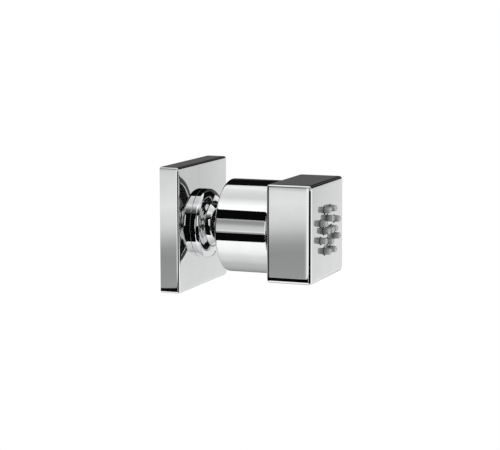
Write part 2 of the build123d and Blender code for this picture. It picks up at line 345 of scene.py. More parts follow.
FINISHES: Mapping[Slot, Finish] = {
    Slot.CHROME: Finish(
        "polished_chrome",
        dark=(0.80, 0.805, 0.81),
        light=(0.83, 0.835, 0.84),
        metallic=1.0,
        roughness=(0.008, 0.018),
        mottle_scale=140.0,
        relief_scale=55.0,
        relief_strength=0.02,
    ),
    Slot.BRASS: TurnedFinish(
        "turned_brass",
        dark=(0.66, 0.47, 0.20),
        light=(0.76, 0.57, 0.27),
        metallic=1.0,
        roughness=(0.2, 0.34),
        relief_strength=0.25,
        relief_depth=0.02 * MM,
    ),
    Slot.ACETAL: Finish(
        "moulded_acetal",
        dark=(0.74, 0.74, 0.71),
        light=(0.82, 0.82, 0.79),
        roughness=(0.35, 0.5),
        relief_strength=0.12,
    ),
    Slot.NYLON: Finish(
        "grey_nylon",
        dark=(0.16, 0.16, 0.165),
        light=(0.22, 0.22, 0.225),
        roughness=(0.35, 0.5),
        relief_strength=0.12,
    ),
    Slot.SILICONE: NozzleFinish(
        "grey_silicone",
        dark=(0.46, 0.465, 0.47),
        light=(0.54, 0.545, 0.55),
        roughness=(0.3, 0.42),
        specular=0.8,
        mottle_scale=700.0,
        relief_scale=2500.0,
        relief_strength=0.15,
    ),
    Slot.SEAL_RUBBER: Finish(
        "black_rubber",
        dark=(0.012, 0.012, 0.012),
        light=(0.022, 0.022, 0.022),
        roughness=(0.45, 0.6),
        relief_strength=0.15,
    ),
    Slot.FOAM: CellFinish(
        "closed_cell_foam",
        dark=(0.02, 0.02, 0.02),
        light=(0.045, 0.045, 0.045),
        roughness=(0.85, 0.95),
        relief_scale=1600.0,
        relief_strength=0.8,
        relief_depth=0.25 * MM,
    ),
}


class Palette:
    """The finishes' materials, each made once."""

    def __init__(self) -> None:
        """Make every finish's material."""
        self._materials = {slot: finish.material() for slot, finish in FINISHES.items()}

    def dress(self, piece: Object, slot: Slot) -> None:
        """Give a piece one finish all over."""
        piece.data.materials.clear()
        piece.data.materials.append(self._materials[slot])

    def line(self, piece: Object, slot: Slot, inside: Callable[[Vector], bool]) -> None:
        """Give a second finish to the faces whose middle passes a test."""
        piece.data.materials.append(self._materials[slot])
        for face in piece.data.polygons:
            if inside(face.center):
                face.material_index = len(piece.data.materials) - 1

    def dress_node(self, node: str, slot: Slot) -> None:
        """Give a carried-over node its finish through its own material slots."""
        holder = frame["nodes"][node]
        if not holder.material_slots:
            holder.data.materials.append(self._materials[slot])
        for material_slot in holder.material_slots:
            material_slot.material = self._materials[slot]
        LOG.info("dressed %s in %s", node, slot.value)


# Modelling


@dataclass(frozen=True)
class Edge:
    """Form of a rounded edge: how far it reaches over its faces, and how square it is (a circle is 0.5)."""

    reach: float
    squareness: float = 0.5
    steps: int = 10

    def shares(self) -> list[Point]:
        """How much of the reach is left along the first and along the second face, from end to end."""
        power = -math.log(2) / math.log(math.sqrt(self.squareness))
        half = self.steps // 2
        middle = 2 ** (-1 / power)
        falls = [middle * step / half for step in range(half + 1)]
        first = [(1 - fall, 1 - (1 - fall**power) ** (1 / power)) for fall in falls]
        return first + [(right, left) for left, right in reversed(first[:-1])]


@dataclass
class Outline:
    """Half section of a turned piece, with corners that may be rounded."""

    corners: list[tuple[float, float, Optional[Edge]]] = field(default_factory=list)

    def to(self, radius: float, distance: float, edge: Optional[Edge] = None) -> Outline:
        """Add a corner, with the form of its round."""
        self.corners.append((radius, distance, edge))
        return self

    @classmethod
    def ring(cls, inner: float, outer: float, near: float, far: float) -> Outline:
        """Section of a plain ring or disc, between two radii and two distances."""
        return cls().to(inner, near).to(outer, near).to(outer, far).to(inner, far)

    def sphere(self, centre: float, radius: float, start: float, end: float, steps: int) -> Outline:
        """Add an arc of a sphere on the axis.

        Args:
            centre: The sphere's distance from the wall.
            radius: Its radius.
            start: Angle of the first point from the spray direction, in degrees.
            end: Angle of the last point.
            steps: How many straight steps the arc has.

        Returns:
            The outline itself.
        """
        for step in range(steps + 1):
            angle = math.radians(start + (end - start) * step / steps)
            self.to(radius * math.sin(angle), centre + radius * math.cos(angle))
        return self

    def points(self) -> list[Point]:
        """Points of the outline, with its rounded corners as fine curves."""
        found: list[Point] = []
        for index, (radius, distance, edge) in enumerate(self.corners):
            if edge is None:
                found.append((radius, distance))
                continue
            corner = Vector((radius, distance))
            neighbours = self.corners[index - 1], self.corners[(index + 1) % len(self.corners)]
            before, after = ((Vector(place[:2]) - corner).normalized() * edge.reach for place in neighbours)
            found.extend(tuple(corner + before * left + after * right) for left, right in edge.shares())
        return found


class Bench:
    """Modelling operators, used on one mesh at a time."""

    @staticmethod
    def clear() -> None:
        """Deselect every object."""
        bpy.ops.object.select_all(action="DESELECT")

    @staticmethod
    def take(*pieces: Object) -> None:
        """Select only these objects, with the first one active."""
        Bench.clear()
        for piece in pieces:
            piece.select_set(True)
        bpy.context.view_layer.objects.active = pieces[0]

    @staticmethod
    def adopt(name: str) -> Object:
        """Name the primitive just added and put its place into its mesh."""
        piece = bpy.context.active_object
        piece.name = name
        piece.data.name = name
        bpy.ops.object.transform_apply(location=True, rotation=True, scale=True)
        return piece

    @staticmethod
    @contextmanager
    def edit(piece: Object, mode: str = "VERT") -> Iterator[None]:
        """Edit mode on one mesh, with nothing in it selected.

        Args:
            piece: The object to edit.
            mode: What is selected: VERT, EDGE or FACE.

        Returns:
            A context that leaves edit mode at its end.
        """
        Bench.take(piece)
        bpy.ops.object.mode_set(mode="EDIT")
        bpy.ops.mesh.select_mode(type=mode)
        bpy.ops.mesh.select_all(action="DESELECT")
        yield
        bpy.ops.object.mode_set(mode="OBJECT")

    @staticmethod
    def pick_edges(piece: Object, test: Callable[[Vector, Vector], bool]) -> None:
        """Select the edges whose two ends pass a test."""
        mesh = bmesh.from_edit_mesh(piece.data)
        for edge in mesh.edges:
            edge.select_set(test(edge.verts[0].co, edge.verts[1].co))
        bmesh.update_edit_mesh(piece.data)

    @staticmethod
    def trace(name: str, points: Sequence[Point]) -> Object:
        """Draw a half section as a chain of edges beside the spray axis."""
        first = last = points[0]
        Bench.clear()
        bpy.ops.mesh.primitive_plane_add(size=MM, location=(first[0], -first[1], 0))
        piece = Bench.adopt(name)
        with Bench.edit(piece):
            bpy.ops.mesh.select_all(action="SELECT")
            bpy.ops.mesh.merge(type="CENTER")
            for point in points[1:]:
                move = (point[0] - last[0], last[1] - point[1], 0)
                bpy.ops.mesh.extrude_region_move(TRANSFORM_OT_translate={"value": move})
                last = point
        return piece

    @staticmethod
    def turn(name: str, outline: Outline, steps: int, closed: bool = True) -> Object:
        """Turn a piece about the spray axis.

        Args:
            name: The piece's name.
            outline: Its half section.
            steps: How many steps a full turn has.
            closed: Whether the section's last point joins its first.

        Returns:
            The turned piece.
        """
        points = outline.points()
        piece = Bench.trace(name, points + points[:1] if closed else points)
        with Bench.edit(piece):
            bpy.ops.mesh.select_all(action="SELECT")
            bpy.ops.mesh.spin(steps=steps, angle=math.tau, center=(0, 0, 0), axis=(0, 1, 0))
            Bench.close_up()
        return piece

    @staticmethod
    def wind(name: str, section: Sequence[Point], pitch: float, turns: int, steps: int) -> Object:
        """Wind a closed section round the spray axis into a screw thread that runs towards the wall.

        Args:
            name: The piece's name.
            section: Its section, at the thread's start.
            pitch: How far one turn runs.
            turns: How many turns there are.
            steps: How many steps a turn has.

        Returns:
            The wound piece, closed at both ends.
        """
        piece = Bench.trace(name, [*section, section[0]])
        with Bench.edit(piece):
            Bench.close_up()
        with Bench.modifier(piece, "SCREW") as screw:
            screw.axis = "Y"
            screw.screw_offset = pitch
            screw.iterations = turns
            screw.steps = screw.render_steps = steps
        with Bench.edit(piece):
            bpy.ops.mesh.select_all(action="SELECT")
            bpy.ops.mesh.fill_holes(sides=len(section))
            Bench.close_up()
        return piece

    @staticmethod
    def close_up() -> None:
        """Merge doubles and turn all faces outwards, in edit mode."""
        bpy.ops.mesh.select_all(action="SELECT")
        bpy.ops.mesh.remove_doubles(threshold=MERGE_DISTANCE)
        bpy.ops.mesh.normals_make_consistent(inside=False)

    @staticmethod
    def block(
        name: str, side: float, near: float, far: float, edge: Edge, rims: Sequence[float] = ()
    ) -> Object:
        """Square block on the spray axis with rounded edges.

        Args:
            name: The block's name.
            side: Its width and height.
            near: Its back's distance from the wall.
            far: Its front's distance from the wall.
            edge: The form of its rounded edges.
            rims: Distances of the ends whose rims are rounded together with the four long edges.

        Returns:
            The block.
        """

        def rounded(a: Vector, b: Vector) -> bool:
            """Whether an edge runs along the axis or lies in a rounded rim."""
            if abs(a.y - b.y) > MERGE_DISTANCE:
                return True
            return any(abs(a.y + rim) < MERGE_DISTANCE for rim in rims)

        Bench.clear()
        scale = (side, far - near, side)
        bpy.ops.mesh.primitive_cube_add(size=1, location=(0, -(near + far) / 2, 0), scale=scale)
        piece = Bench.adopt(name)
        with Bench.edit(piece, "EDGE"):
            Bench.pick_edges(piece, rounded)
            bpy.ops.mesh.bevel(
                offset=edge.reach, segments=edge.steps, profile=edge.squareness, affect="EDGES"
            )
        return piece

    @staticmethod
    def prism(name: str, across_flats: float, near: float, far: float) -> Object:
        """Six-sided tool on the axis, from a near to a far distance from the wall."""
        Bench.clear()
        bpy.ops.mesh.primitive_cylinder_add(
            vertices=6,
            radius=across_flats / math.sqrt(3),
            depth=far - near,
            location=(0, -(near + far) / 2, 0),
            rotation=(math.pi / 2, 0, 0),
        )
        return Bench.adopt(name)

    @staticmethod
    @contextmanager
    def modifier(piece: Object, kind: str) -> Iterator[bpy.types.Modifier]:
        """Add a modifier to one piece, and apply it once it is set.

        Args:
            piece: The object to change.
            kind: The modifier's type.

        Returns:
            A context that gives the modifier and applies it at its end.
        """
        Bench.take(piece)
        bpy.ops.object.modifier_add(type=kind)
        modifier = piece.modifiers[-1]
        yield modifier
        bpy.ops.object.modifier_apply(modifier=modifier.name)

    @staticmethod
    def combine(piece: Object, tool: Object, cut: Cut) -> None:
        """Add a tool to a piece or remove it from the piece, and delete the tool."""
        with Bench.modifier(piece, "BOOLEAN") as boolean:
            boolean.operation = cut.value
            boolean.solver = "EXACT"
            boolean.object = tool
        Bench.take(tool)
        bpy.ops.object.delete()

    @staticmethod
    def copies(model: Object, places: Sequence[Point]) -> Object:
        """Copy a model to places of (x, z), and join the copies in its stead."""
        made: list[Object] = []
        for x, z in places:
            Bench.take(model)
            bpy.ops.object.duplicate()
            bpy.ops.transform.translate(value=(x, 0, z))
            bpy.ops.object.transform_apply(location=True, rotation=True, scale=True)
            made.append(bpy.context.active_object)
        name = model.name
        Bench.take(model)
        bpy.ops.object.delete()
        Bench.take(*made)
        bpy.ops.object.join()
        return Bench.adopt(name)

    @staticmethod
    def smooth(piece: Object) -> None:
        """Shade the rounds smooth and keep the flats flat."""
        Bench.take(piece)
        bpy.ops.object.shade_smooth_by_angle(angle=SMOOTH_ANGLE)
        with Bench.modifier(piece, "WEIGHTED_NORMAL") as weighted:
            weighted.keep_sharp = True


@dataclass(frozen=True)
class Extent:
    """How far a node reaches: from the axis, and from the wall at its near and far end."""

    half: float
    near: float
    far: float

    @classmethod
    def of(cls, node: str) -> Extent:
        """Measure a node of the frame."""
        low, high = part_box(node)
        return cls(half=high.x, near=-high.y, far=-low.y)


def hand_over(piece: Object, node: str, body: Body, slot: Slot, palette: Palette) -> None:
    """Dress a finished piece and let it stand for its node.

    Args:
        piece: The finished mesh.
        node: The node that it replaces.
        body: The body that it moves with.
        slot: Its finish.
        palette: The materials.
    """
    Bench.smooth(piece)
    palette.dress(piece, slot)
    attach(piece, body.value)
    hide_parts(node)
    LOG.info("built %s, %d faces", piece.name, len(piece.data.polygons))


BALL_CENTRE = -frame["record"]["behaviour"]["joints"][0]["pos_m"][1]


# Sub-assemblies


@dataclass
class WallMount:
    """Plate on the wall, brass inlet with the ball's cup, and the collar nut that closes it."""

    palette: Palette
    plate_edge: Edge = Edge(3.0 * MM, squareness=0.8, steps=20)
    plate_wall: float = 2.0 * MM
    plate_hollow_edge: Edge = Edge(1.0 * MM)
    plate_hole_radius: float = 17.3 * MM
    sleeve_radius: float = 17.2 * MM
    collar_bore_radius: float = 16.05 * MM
    collar_base: float = 10.48 * MM
    washer_radius: float = 18.15 * MM
    collar_base_break: float = 0.12 * MM
    lip_sphere_radius: float = 12.75 * MM
    seat_sphere_radius: float = 13.9 * MM
    lip_angle: float = 71.87
    lip_width: float = 0.3 * MM
    seat_angle: float = 79.87
    seat_end_angle: float = 89.0
    collar_bore_gap: float = 0.1 * MM
    collar_front_slope: float = 22.0
    collar_edge: Edge = Edge(1.2 * MM, steps=48)
    collar_dome: float = 0.8 * MM
    collar_dome_share: float = 0.36
    collar_dome_edge: Edge = Edge(1.3 * MM, steps=32)
    thread_radius: float = 10.4775 * MM
    thread_depth: float = 1.162 * MM
    thread_pitch: float = 1.814 * MM
    thread_root_width: float = 0.25 * MM
    thread_flank_angle: float = 27.5
    thread_tool_clearance: float = 0.25 * MM
    thread_chamfer: float = 1.0 * MM
    thread_shoulder: float = 1.6 * MM
    inlet_bore_radius: float = 7.5 * MM
    inlet_bore_depth: float = 8.0 * MM
    inlet_throat_radius: float = 5.0 * MM
    inlet_key_flats: float = 12.0 * MM
    chamber_radius: float = 12.9 * MM
    rear_seat_angle: float = 122.0
    seal_groove: Point = (14.367 * MM, 10.712 * MM)
    steps: int = 192

    def build(self) -> None:
        """Build and dress the mount's pieces."""
        hand_over(self.plate(), "wall_plate", Body.WALL_MOUNT, Slot.CHROME, self.palette)
        hand_over(self.collar(), "collar_nut", Body.WALL_MOUNT, Slot.CHROME, self.palette)
        hand_over(self.washer(), "plate_washer", Body.WALL_MOUNT, Slot.NYLON, self.palette)
        hand_over(self.inlet(), "inlet_socket", Body.WALL_MOUNT, Slot.BRASS, self.palette)
        self.dress()

    def dress(self) -> None:
        """Dress the nodes that are carried over."""
        for node in ("flow_regulator", "inlet_filter"):
            self.palette.dress_node(node, Slot.ACETAL)
        for node in ("regulator_seal", "ball_seal"):
            self.palette.dress_node(node, Slot.SEAL_RUBBER)
        self.palette.dress_node("wall_gasket", Slot.FOAM)

    def plate(self) -> Object:
        """Hollow square plate, open towards the wall, with the hole for the collar's sleeve."""
        size = Extent.of("wall_plate")
        plate = Bench.block(
            "chrome_wall_plate", 2 * size.half, size.near, size.far, self.plate_edge, rims=(size.far,)
        )
        hollow_side = 2 * (size.half - self.plate_wall)
        past_wall = size.near - self.plate_wall
        floor = size.far - self.plate_wall
        hollow = Bench.block("plate_hollow", hollow_side, past_wall, floor, self.plate_hollow_edge)
        Bench.combine(plate, hollow, Cut.REMOVE)
        hole = Outline.ring(0, self.plate_hole_radius, floor - self.plate_wall, size.far + self.plate_wall)
        Bench.combine(plate, Bench.turn("plate_hole", hole, self.steps, closed=False), Cut.REMOVE)
        return plate

    def washer(self) -> Object:
        """Thin washer between the collar and the plate."""
        size = Extent.of("plate_washer")
        outline = Outline.ring(self.plate_hole_radius, self.washer_radius, size.near, self.collar_base)
        return Bench.turn("nylon_washer", outline, self.steps)

    def inlet(self) -> Object:
        """Brass nipple with the cup for the ball, a key socket and the thread that goes into the wall."""
        size = Extent.of("inlet_socket")
        bore_end = size.near + self.inlet_bore_depth
        groove_radius, groove_floor = self.seal_groove
        groove_angle = math.degrees(math.acos((groove_floor - BALL_CENTRE) / self.seat_sphere_radius))
        throat_angle = 180 - math.degrees(math.asin(self.inlet_throat_radius / self.chamber_radius))
        outline = (
            Outline()
            .to(self.inlet_throat_radius, bore_end)
            .to(self.inlet_bore_radius, bore_end)
            .to(self.inlet_bore_radius, size.near)
            .to(self.thread_radius - self.thread_chamfer, size.near)
            .to(self.thread_radius, size.near + self.thread_chamfer)
            .to(self.thread_radius, 0)
            .to(size.half, 0)
            .to(size.half, size.far)
            .to(groove_radius, size.far)
            .to(groove_radius, groove_floor)
            .sphere(BALL_CENTRE, self.seat_sphere_radius, groove_angle, self.rear_seat_angle, steps=12)
            .sphere(BALL_CENTRE, self.chamber_radius, self.rear_seat_angle, throat_angle, steps=24)
        )
        inlet = Bench.turn("brass_inlet", outline, self.steps // 2)
        key = Bench.prism("inlet_key", self.inlet_key_flats, bore_end - self.thread_shoulder, BALL_CENTRE)
        Bench.combine(inlet, key, Cut.REMOVE)
        Bench.combine(inlet, self.thread_groove(size.near), Cut.REMOVE)
        return inlet

    def thread_groove(self, near: float) -> Object:
        """Winding tool that cuts the thread into the nipple, from past its end to the shoulder."""
        start = -self.thread_shoulder
        turns = math.ceil((start - near) / self.thread_pitch) + 1
        root = self.thread_radius - self.thread_depth
        outside = self.thread_radius + self.thread_tool_clearance
        half_root = self.thread_root_width / 2
        half_mouth = half_root + (outside - root) * math.tan(math.radians(self.thread_flank_angle))
        section = [
            (root, start - half_root),
            (outside, start - half_mouth),
            (outside, start + half_mouth),
            (root, start + half_root),
        ]
        return Bench.wind("thread_groove", section, self.thread_pitch, turns, self.steps // 3)

    def collar(self) -> Object:
        """Nut over the ball: sleeve behind the plate's face, rounded edge, domed front and lip."""
        size = Extent.of("collar_nut")
        land_radius = self.lip_sphere_radius * math.sin(math.radians(self.lip_angle)) + self.lip_width
        front_drop = (size.half - land_radius) * math.tan(math.radians(self.collar_front_slope))
        crown_radius = size.half + (land_radius - size.half) * self.collar_dome_share
        crown = crown_radius, size.far - front_drop * (1 - self.collar_dome_share) + self.collar_dome
        outline = (
            Outline()
            .to(self.collar_bore_radius, size.near)
            .to(self.sleeve_radius, size.near)
            .to(self.sleeve_radius, self.collar_base)
            .to(size.half - self.collar_base_break, self.collar_base)
            .to(size.half, self.collar_base + self.collar_base_break)
            .to(size.half, size.far - front_drop, self.collar_edge)
            .to(*crown, self.collar_dome_edge)
            .to(land_radius, size.far)
            .sphere(BALL_CENTRE, self.lip_sphere_radius, self.lip_angle, self.seat_angle, steps=8)
            .sphere(BALL_CENTRE, self.seat_sphere_radius, self.seat_angle, self.seat_end_angle, steps=16)
            .to(self.collar_bore_radius, BALL_CENTRE + self.collar_bore_gap)
        )
        return Bench.turn("chrome_collar_nut", outline, self.steps)


@dataclass
class Stem:
    """Ball, neck and shank in one turned piece, with the washer and nut that hold the barrel on it."""

    palette: Palette
    ball_radius: float = 12.5 * MM
    neck_radius: float = 7.5 * MM
    shoulder: float = 26.4 * MM
    shank_radius: float = 6.5785 * MM
    shank_chamfer: float = 0.6 * MM
    waterway_radius: float = 4.2 * MM
    key_flats: float = 10.0 * MM
    key_depth: float = 6.0 * MM
    steps: int = 144

    def build(self) -> None:
        """Build and dress the stem's pieces."""
        hand_over(self.ball_stem(), "ball_stem", Body.STEM, Slot.CHROME, self.palette)
        self.palette.dress_node("thrust_washer", Slot.ACETAL)
        self.palette.dress_node("stem_nut", Slot.BRASS)
        for node in ("front_seat_ring", "rear_seat_ring"):
            self.palette.dress_node(node, Slot.ACETAL)

    def ball_stem(self) -> Object:
        """The turned stem, bored for the water, with a key socket in the ball."""
        size = Extent.of("ball_stem")
        neck_angle = math.degrees(math.asin(self.neck_radius / self.ball_radius))
        flat_angle = math.degrees(math.acos((size.near - BALL_CENTRE) / self.ball_radius))
        outline = (
            Outline()
            .to(self.waterway_radius, size.near)
            .sphere(BALL_CENTRE, self.ball_radius, flat_angle, neck_angle, steps=72)
            .to(self.neck_radius, self.shoulder)
            .to(self.shank_radius, self.shoulder)
            .to(self.shank_radius, size.far - self.shank_chamfer)
            .to(self.shank_radius - self.shank_chamfer, size.far)
            .to(self.waterway_radius, size.far)
        )
        stem = Bench.turn("chrome_ball_stem", outline, self.steps)
        key_ends = (size.near - self.key_depth, size.near + self.key_depth)
        key = Bench.prism("key_socket", self.key_flats, *key_ends)
        Bench.combine(stem, key, Cut.REMOVE)
        return stem


@dataclass
class SprayHead:
    """Round barrel, square head, silicone nozzle mat and the disc behind it."""

    palette: Palette
    barrel_edge: Edge = Edge(2.5 * MM, squareness=0.8, steps=24)
    barrel_wall: float = 2.6 * MM
    barrel_back_wall: float = 2.5 * MM
    barrel_recess_depth: float = 5.0 * MM
    barrel_recess_edge: Edge = Edge(0.5 * MM)
    barrel_rim_width: float = 3.4 * MM
    barrel_web: float = 3.0 * MM
    hub_radius: float = 13.5 * MM
    hub_depth: float = 8.5 * MM
    hub_bore_radius: float = 6.6785 * MM
    spigot_radius: float = 22.6 * MM
    spigot_wall: float = 1.8 * MM
    head_edge: Edge = Edge(4.5 * MM, squareness=0.8, steps=24)
    head_bore_radius: float = 22.65 * MM
    head_front_wall: float = 3.0 * MM
    nozzle_hole_radius: float = 2.2 * MM
    nozzle_hole_flare: float = 0.15 * MM
    inner_ring: tuple[int, float] = (4, 6.0 * MM)
    outer_ring: tuple[int, float] = (8, 11.5 * MM)
    mat_thickness: float = 2.0 * MM
    nozzle_root_radius: float = 1.8 * MM
    nozzle_tip_radius: float = 1.55 * MM
    nozzle_tip_edge: Edge = Edge(0.35 * MM)
    nozzle_channel_radius: float = 1.1 * MM
    nozzle_orifice_radius: float = 0.6 * MM
    nozzle_orifice_length: float = 1.6 * MM
    steps: int = 256
    nozzle_steps: int = 48

    def build(self) -> None:
        """Build and dress the head's pieces."""
        barrel = self.barrel()
        hand_over(barrel, "barrel", Body.HEAD, Slot.CHROME, self.palette)
        # Painted shade: the recess walls of the chrome barrel get the black rubber finish.
        self.palette.line(barrel, Slot.SEAL_RUBBER, self.recess_shade_test())
        hand_over(self.housing(), "head_housing", Body.HEAD, Slot.CHROME, self.palette)
        hand_over(self.nozzle_mat(), "nozzle_mat", Body.HEAD, Slot.SILICONE, self.palette)
        self.palette.dress_node("spray_disc", Slot.ACETAL)
        for node in ("stem_seal", "disc_seal"):
            self.palette.dress_node(node, Slot.SEAL_RUBBER)

    def recess_shade_test(self) -> Callable[[Vector], bool]:
        """Test for places on the side walls of the recess in the barrel's back, past its rounded rims, where
        black is painted as shade.

        Returns:
            A function that says whether a place lies on those walls.
        """
        size = Extent.of("barrel")
        inner = self.hub_radius - MERGE_DISTANCE
        outer = size.half - self.barrel_rim_width + MERGE_DISTANCE
        rim = size.near + self.barrel_recess_edge.reach
        floor = size.near + self.barrel_recess_depth - MERGE_DISTANCE
        return lambda place: inner < math.hypot(place.x, place.z) < outer and rim < -place.y < floor

    def nozzle_places(self) -> list[Point]:
        """Places of the nozzles on the face: the centre, then two rings, the outer one turned half a step."""
        places: list[Point] = [(0.0, 0.0)]
        for (count, radius), first in ((self.inner_ring, 0.0), (self.outer_ring, 0.5)):
            for index in range(count):
                angle = math.tau * (index + first) / count
                places.append((radius * math.cos(angle), radius * math.sin(angle)))
        return places

    def barrel(self) -> Object:
        """Round cup behind the head: hub that turns on the stem, recessed back and spigot into the head."""
        size = Extent.of("barrel")
        front = Extent.of("head_housing").near
        inner_radius = size.half - self.barrel_wall
        recess_radius = size.half - self.barrel_rim_width
        recess_floor = size.near + self.barrel_recess_depth
        outline = (
            Outline()
            .to(self.hub_bore_radius, size.near)
            .to(self.hub_radius, size.near, self.barrel_recess_edge)
            .to(self.hub_radius, recess_floor)
            .to(recess_radius, recess_floor)
            .to(recess_radius, size.near, self.barrel_recess_edge)
            .to(size.half, size.near, self.barrel_edge)
            .to(size.half, front, self.barrel_edge)
            .to(self.spigot_radius, front)
            .to(self.spigot_radius, size.far)
            .to(self.spigot_radius - self.spigot_wall, size.far)
            .to(self.spigot_radius - self.spigot_wall, front - self.barrel_web)
            .to(inner_radius, front - self.barrel_web)
            .to(inner_radius, recess_floor + self.barrel_back_wall)
            .to(self.hub_radius, recess_floor + self.barrel_back_wall)
            .to(self.hub_radius, size.near + self.hub_depth)
            .to(self.hub_bore_radius, size.near + self.hub_depth)
        )
        return Bench.turn("chrome_barrel", outline, self.steps)

    def housing(self) -> Object:
        """Square head bored from behind, with a flared hole for each nozzle."""
        size = Extent.of("head_housing")
        rims = (size.near, size.far)
        head = Bench.block("chrome_head", 2 * size.half, size.near, size.far, self.head_edge, rims)
        floor = size.far - self.head_front_wall
        bore = Outline.ring(0, self.head_bore_radius, size.near - self.head_front_wall, floor)
        Bench.combine(head, Bench.turn("head_bore", bore, self.steps, closed=False), Cut.REMOVE)
        flare = self.nozzle_hole_flare
        hole = (
            Outline()
            .to(0, floor - self.head_front_wall)
            .to(self.nozzle_hole_radius, floor - self.head_front_wall)
            .to(self.nozzle_hole_radius, size.far - flare)
            .to(self.nozzle_hole_radius + 2 * flare, size.far + flare)
            .to(0, size.far + flare)
        )
        tool = Bench.turn("nozzle_holes", hole, self.nozzle_steps, closed=False)
        Bench.combine(head, Bench.copies(tool, self.nozzle_places()), Cut.REMOVE)
        return head

    def nozzle_mat(self) -> Object:
        """Silicone mat with all its nozzles in one moulding."""
        size = Extent.of("nozzle_mat")
        face = Extent.of("head_housing").far
        sheet_front = size.near + self.mat_thickness
        middle = size.near + self.mat_thickness / 2
        sheet = Outline.ring(0, size.half, size.near, sheet_front)
        mat = Bench.turn("silicone_nozzle_mat", sheet, self.steps // 2, closed=False)
        nozzle = (
            Outline()
            .to(0, middle)
            .to(self.nozzle_root_radius, middle)
            .to(self.nozzle_root_radius, face)
            .to(self.nozzle_tip_radius, size.far, self.nozzle_tip_edge)
            .to(0, size.far)
        )
        nozzles = Bench.turn("nozzles", nozzle, self.nozzle_steps, closed=False)
        Bench.combine(mat, Bench.copies(nozzles, self.nozzle_places()), Cut.ADD)
        channel = (
            Outline()
            .to(0, size.near - self.mat_thickness)
            .to(self.nozzle_channel_radius, size.near - self.mat_thickness)
            .to(self.nozzle_channel_radius, size.far - self.nozzle_orifice_length)
            .to(self.nozzle_orifice_radius, size.far - self.nozzle_orifice_length)
            .to(self.nozzle_orifice_radius, size.far + self.mat_thickness)
            .to(0, size.far + self.mat_thickness)
        )
        channels = Bench.turn("channels", channel, self.nozzle_steps // 2, closed=False)
        Bench.combine(mat, Bench.copies(channels, self.nozzle_places()), Cut.REMOVE)
        return mat


# Studio


@dataclass(frozen=True)
class Fade:
    """A card's change to another tone between two azimuths."""

    start: float
    end: float
    tone: float


@dataclass(frozen=True)
class Card:
    """A flat studio card out of the camera's sight, given by the directions that it fills.

    An elevation past 90 or -90 degrees goes on over the far side. A tone is a pair of elevation and
    brightness; a card without tones of its own is black.
    """

    name: str
    azimuth: Point
    elevation: Point
    tones: Sequence[Point] = ((0.0, 0.003),)
    fades: Sequence[Fade] = ()
    distance: float = 1.2

    def build(self, centre: Vector) -> None:
        """Stand the card round the object's centre.

        Args:
            centre: The point that the card faces.
        """
        azimuth, elevation = sum(self.azimuth) / 2, sum(self.elevation) / 2
        outward = toward(azimuth, elevation)
        upward = toward(azimuth, elevation + 90)
        Bench.clear()
        bpy.ops.mesh.primitive_plane_add(size=1, location=centre + outward * self.distance)
        card = bpy.context.active_object
        card.name = self.name
        card.rotation_mode = "QUATERNION"
        axes = Matrix((upward.cross(-outward), upward, -outward))
        card.rotation_quaternion = axes.transposed().to_quaternion()
        card.scale = (self.reach(self.azimuth), self.reach(self.elevation), 1)
        card.data.materials.append(self.material())
        card.visible_camera = False
        card.visible_shadow = False
        card.visible_transmission = False

    def reach(self, span: Point) -> float:
        """Length of the card over a span of directions."""
        return 2 * self.distance * math.tan(math.radians(span[1] - span[0]) / 2)

    @staticmethod
    def share(angle: float, span: Point) -> float:
        """Where a direction lies on the card's span, from 0 at its start to 1 at its end."""
        half = math.radians(span[1] - span[0]) / 2
        return 0.5 + math.tan(math.radians(angle - span[0]) - half) / (2 * math.tan(half))

    def material(self) -> bpy.types.Material:
        """Glow that follows the card's tones upwards and its fades across."""
        material = bpy.data.materials.new(self.name)
        material.use_nodes = True
        shader = Shader(material.node_tree)
        axes = shader.node("ShaderNodeSeparateXYZ", None, {"Vector": shader.place()})
        peak = max(tone for _, tone in self.tones)
        stops = [(self.share(angle, self.elevation), grey(tone / peak)) for angle, tone in self.tones]
        colour = shader.ramp(shader.value(axes, "Y") + 0.5, stops)
        across = 0.5 - shader.value(axes, "X")
        for fade in self.fades:
            start, end = (self.share(angle, self.azimuth) for angle in (fade.start, fade.end))
            weight = ((across - start) / (end - start)).clamped()
            sockets = {MIX_FACTOR: weight, MIX_FIRST: colour, MIX_SECOND: (*grey(fade.tone / peak), 1)}
            colour = shader.node("ShaderNodeMix", {"data_type": "RGBA"}, sockets).outputs[MIX_RESULT]
        glow = shader.node("ShaderNodeEmission", None, {"Color": colour, "Strength": peak})
        shader.node("ShaderNodeOutputMaterial", None, {"Surface": glow.outputs[0]})
        return material


@dataclass(frozen=True)
class Lamp:
    """A soft square lamp that is kept out of the chrome."""

    name: str
    place: tuple[float, float, float]
    size: float
    power: float

    def build(self, centre: Vector) -> None:
        """Aim the lamp at the object's centre."""
        bpy.ops.object.light_add(type="AREA", location=self.place)
        lamp = bpy.context.active_object
        lamp.name = self.name
        lamp.data.size = self.size
        lamp.data.energy = self.power
        lamp.rotation_mode = "QUATERNION"
        lamp.rotation_quaternion = (centre - Vector(self.place)).to_track_quat("-Z", "Y")
        lamp.visible_glossy = False


